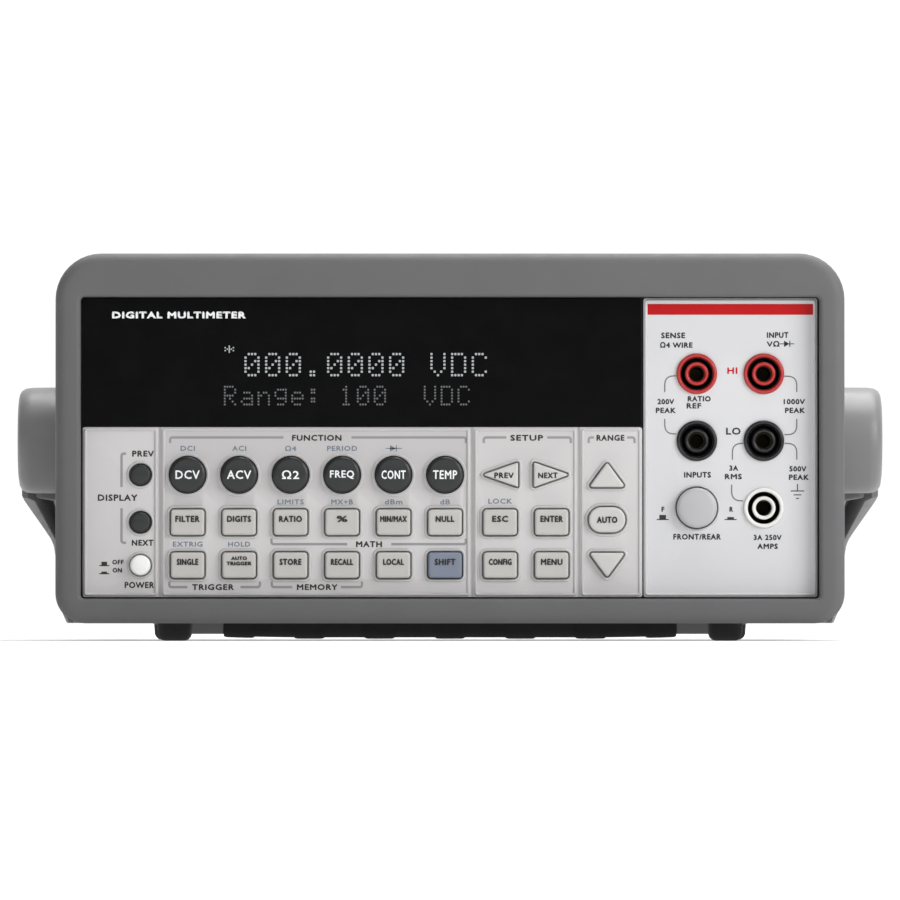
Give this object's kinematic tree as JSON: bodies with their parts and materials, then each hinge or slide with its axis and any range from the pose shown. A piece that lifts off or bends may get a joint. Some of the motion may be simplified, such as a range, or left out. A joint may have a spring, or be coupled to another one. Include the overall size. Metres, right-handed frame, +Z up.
{
  "type": "bench multimeter",
  "caption": "Half-rack bench multimeter with rubber bumpers, swinging carry handle, press keys, fluorescent readout window and banana sockets on front and rear.",
  "frame": {"origin": "centre of the footprint on the bench, under the middle of the body", "axes": "+Z up; the front panel faces -Y; +X is to the right of a person who looks at the front panel"},
  "size_m": [0.2526, 0.305, 0.11],
  "materials": {
    "case_paint": "fine textured paint",
    "chassis_steel": "plated sheet",
    "bumper_rubber": "satin moulded rubber",
    "frame_plastic": "fine texture",
    "keypad_plastic": "satin silver-grey",
    "window_plastic": "gloss smoked",
    "display_glass": "clear",
    "terminal_plastic": "satin light grey",
    "red_plastic": "semi-gloss",
    "black_plastic": "semi-gloss",
    "white_plastic": "semi-gloss",
    "contact_metal": "nickel-plated",
    "circuit_board": "solder-resist",
    "transformer_core": "varnished laminations",
    "rear_steel": "fine textured paint",
    "inlet_plastic": "moulded",
    "nickel": "nickel plate",
    "handle_plastic": "satin",
    "grip_rubber": "ribbed",
    "pivot_plastic": "moulded",
    "foot_rubber": "moulded",
    "screw_steel": "zinc plate",
    "dark_key": "satin",
    "light_key": "satin",
    "arrow_key": "satin",
    "blue_key": "satin",
    "white_key": "semi-gloss",
    "selector_plastic": "satin",
    "rod_plastic": "moulded"
  },
  "bodies": {
    "main": {"case_cover": "case_paint", "chassis": "chassis_steel", "front_bumper": "bumper_rubber", "rear_bumper": "bumper_rubber", "front_frame": "frame_plastic", "keypad_panel": "keypad_plastic", "key_board": "circuit_board", "display_window": "window_plastic", "display_module": "display_glass", "terminal_panel": "terminal_plastic", "red_terminals": "red_plastic", "black_terminals": "black_plastic", "current_terminals": "white_plastic", "terminal_contacts": "contact_metal", "main_board": "circuit_board", "transformer": "transformer_core", "rear_panel": "rear_steel", "mains_inlet": "inlet_plastic", "bnc_connectors": "nickel", "interface_connectors": "nickel", "handle_pivots": "pivot_plastic", "feet": "foot_rubber", "case_screws": "screw_steel"},
    "power_button": {"power_button": "white_key", "power_switch_rod": "rod_plastic"},
    "input_selector": {"input_selector_button": "selector_plastic", "input_selector_rod": "rod_plastic"},
    "handle": {"handle_frame": "handle_plastic", "handle_grip": "grip_rubber"},
    "mains_fuse_drawer": {"mains_fuse_drawer": "inlet_plastic"},
    "current_fuse_cap": {"current_fuse_cap": "inlet_plastic"},
    "display_prev_key": {"display_prev_key": "dark_key"},
    "display_next_key": {"display_next_key": "dark_key"},
    "dc_volts_key": {"dc_volts_key": "dark_key"},
    "ac_volts_key": {"ac_volts_key": "dark_key"},
    "ohms_key": {"ohms_key": "dark_key"},
    "frequency_key": {"frequency_key": "dark_key"},
    "continuity_key": {"continuity_key": "dark_key"},
    "temperature_key": {"temperature_key": "dark_key"},
    "filter_key": {"filter_key": "light_key"},
    "digits_key": {"digits_key": "light_key"},
    "ratio_key": {"ratio_key": "light_key"},
    "percent_key": {"percent_key": "light_key"},
    "min_max_key": {"min_max_key": "light_key"},
    "null_key": {"null_key": "light_key"},
    "single_key": {"single_key": "light_key"},
    "auto_trigger_key": {"auto_trigger_key": "light_key"},
    "store_key": {"store_key": "light_key"},
    "recall_key": {"recall_key": "light_key"},
    "local_key": {"local_key": "light_key"},
    "shift_key": {"shift_key": "blue_key"},
    "setup_prev_key": {"setup_prev_key": "arrow_key"},
    "setup_next_key": {"setup_next_key": "arrow_key"},
    "escape_key": {"escape_key": "light_key"},
    "enter_key": {"enter_key": "light_key"},
    "config_key": {"config_key": "light_key"},
    "menu_key": {"menu_key": "light_key"},
    "range_up_key": {"range_up_key": "arrow_key"},
    "range_auto_key": {"range_auto_key": "arrow_key"},
    "range_down_key": {"range_down_key": "arrow_key"}
  },
  "joints": [
    {"name": "handle_swing", "type": "hinge", "parent": "main", "child": "handle", "pos_m": [0, -0.0575, 0.0585], "axis": [-1, 0, 0], "range_deg": [0, 315]},
    {"name": "power_press", "type": "slide", "parent": "main", "child": "power_button", "axis": [0, 1, 0], "range_m": [0, 0.003], "stiffness_N_per_m": 300, "springref_m": -0.003},
    {"name": "input_selector_press", "type": "slide", "parent": "main", "child": "input_selector", "axis": [0, 1, 0], "range_m": [0, 0.003], "stiffness_N_per_m": 400, "springref_m": -0.003},
    {"name": "mains_fuse_drawer_slide", "type": "slide", "parent": "main", "child": "mains_fuse_drawer", "axis": [0, 1, 0], "range_m": [0, 0.02]},
    {"name": "current_fuse_cap_turn", "type": "hinge", "parent": "main", "child": "current_fuse_cap", "pos_m": [0.0701, 0.1405, 0.0378], "axis": [0, 1, 0], "range_deg": [0, 90]},
    {"name": "display_prev_press", "type": "slide", "parent": "main", "child": "display_prev_key", "axis": [0, 1, 0], "range_m": [0, 0.001], "stiffness_N_per_m": 800, "springref_m": -0.0007},
    {"name": "display_next_press", "type": "slide", "parent": "main", "child": "display_next_key", "axis": [0, 1, 0], "range_m": [0, 0.001], "stiffness_N_per_m": 800, "springref_m": -0.0007},
    {"name": "dc_volts_press", "type": "slide", "parent": "main", "child": "dc_volts_key", "axis": [0, 1, 0], "range_m": [0, 0.001], "stiffness_N_per_m": 800, "springref_m": -0.0007},
    {"name": "ac_volts_press", "type": "slide", "parent": "main", "child": "ac_volts_key", "axis": [0, 1, 0], "range_m": [0, 0.001], "stiffness_N_per_m": 800, "springref_m": -0.0007},
    {"name": "ohms_press", "type": "slide", "parent": "main", "child": "ohms_key", "axis": [0, 1, 0], "range_m": [0, 0.001], "stiffness_N_per_m": 800, "springref_m": -0.0007},
    {"name": "frequency_press", "type": "slide", "parent": "main", "child": "frequency_key", "axis": [0, 1, 0], "range_m": [0, 0.001], "stiffness_N_per_m": 800, "springref_m": -0.0007},
    {"name": "continuity_press", "type": "slide", "parent": "main", "child": "continuity_key", "axis": [0, 1, 0], "range_m": [0, 0.001], "stiffness_N_per_m": 800, "springref_m": -0.0007},
    {"name": "temperature_press", "type": "slide", "parent": "main", "child": "temperature_key", "axis": [0, 1, 0], "range_m": [0, 0.001], "stiffness_N_per_m": 800, "springref_m": -0.0007},
    {"name": "filter_press", "type": "slide", "parent": "main", "child": "filter_key", "axis": [0, 1, 0], "range_m": [0, 0.001], "stiffness_N_per_m": 800, "springref_m": -0.0007},
    {"name": "digits_press", "type": "slide", "parent": "main", "child": "digits_key", "axis": [0, 1, 0], "range_m": [0, 0.001], "stiffness_N_per_m": 800, "springref_m": -0.0007},
    {"name": "ratio_press", "type": "slide", "parent": "main", "child": "ratio_key", "axis": [0, 1, 0], "range_m": [0, 0.001], "stiffness_N_per_m": 800, "springref_m": -0.0007},
    {"name": "percent_press", "type": "slide", "parent": "main", "child": "percent_key", "axis": [0, 1, 0], "range_m": [0, 0.001], "stiffness_N_per_m": 800, "springref_m": -0.0007},
    {"name": "min_max_press", "type": "slide", "parent": "main", "child": "min_max_key", "axis": [0, 1, 0], "range_m": [0, 0.001], "stiffness_N_per_m": 800, "springref_m": -0.0007},
    {"name": "null_press", "type": "slide", "parent": "main", "child": "null_key", "axis": [0, 1, 0], "range_m": [0, 0.001], "stiffness_N_per_m": 800, "springref_m": -0.0007},
    {"name": "single_press", "type": "slide", "parent": "main", "child": "single_key", "axis": [0, 1, 0], "range_m": [0, 0.001], "stiffness_N_per_m": 800, "springref_m": -0.0007},
    {"name": "auto_trigger_press", "type": "slide", "parent": "main", "child": "auto_trigger_key", "axis": [0, 1, 0], "range_m": [0, 0.001], "stiffness_N_per_m": 800, "springref_m": -0.0007},
    {"name": "store_press", "type": "slide", "parent": "main", "child": "store_key", "axis": [0, 1, 0], "range_m": [0, 0.001], "stiffness_N_per_m": 800, "springref_m": -0.0007},
    {"name": "recall_press", "type": "slide", "parent": "main", "child": "recall_key", "axis": [0, 1, 0], "range_m": [0, 0.001], "stiffness_N_per_m": 800, "springref_m": -0.0007},
    {"name": "local_press", "type": "slide", "parent": "main", "child": "local_key", "axis": [0, 1, 0], "range_m": [0, 0.001], "stiffness_N_per_m": 800, "springref_m": -0.0007},
    {"name": "shift_press", "type": "slide", "parent": "main", "child": "shift_key", "axis": [0, 1, 0], "range_m": [0, 0.001], "stiffness_N_per_m": 800, "springref_m": -0.0007},
    {"name": "setup_prev_press", "type": "slide", "parent": "main", "child": "setup_prev_key", "axis": [0, 1, 0], "range_m": [0, 0.001], "stiffness_N_per_m": 800, "springref_m": -0.0007},
    {"name": "setup_next_press", "type": "slide", "parent": "main", "child": "setup_next_key", "axis": [0, 1, 0], "range_m": [0, 0.001], "stiffness_N_per_m": 800, "springref_m": -0.0007},
    {"name": "escape_press", "type": "slide", "parent": "main", "child": "escape_key", "axis": [0, 1, 0], "range_m": [0, 0.001], "stiffness_N_per_m": 800, "springref_m": -0.0007},
    {"name": "enter_press", "type": "slide", "parent": "main", "child": "enter_key", "axis": [0, 1, 0], "range_m": [0, 0.001], "stiffness_N_per_m": 800, "springref_m": -0.0007},
    {"name": "config_press", "type": "slide", "parent": "main", "child": "config_key", "axis": [0, 1, 0], "range_m": [0, 0.001], "stiffness_N_per_m": 800, "springref_m": -0.0007},
    {"name": "menu_press", "type": "slide", "parent": "main", "child": "menu_key", "axis": [0, 1, 0], "range_m": [0, 0.001], "stiffness_N_per_m": 800, "springref_m": -0.0007},
    {"name": "range_up_press", "type": "slide", "parent": "main", "child": "range_up_key", "axis": [0, 1, 0], "range_m": [0, 0.001], "stiffness_N_per_m": 800, "springref_m": -0.0007},
    {"name": "range_auto_press", "type": "slide", "parent": "main", "child": "range_auto_key", "axis": [0, 1, 0], "range_m": [0, 0.001], "stiffness_N_per_m": 800, "springref_m": -0.0007},
    {"name": "range_down_press", "type": "slide", "parent": "main", "child": "range_down_key", "axis": [0, 1, 0], "range_m": [0, 0.001], "stiffness_N_per_m": 800, "springref_m": -0.0007}
  ]
}
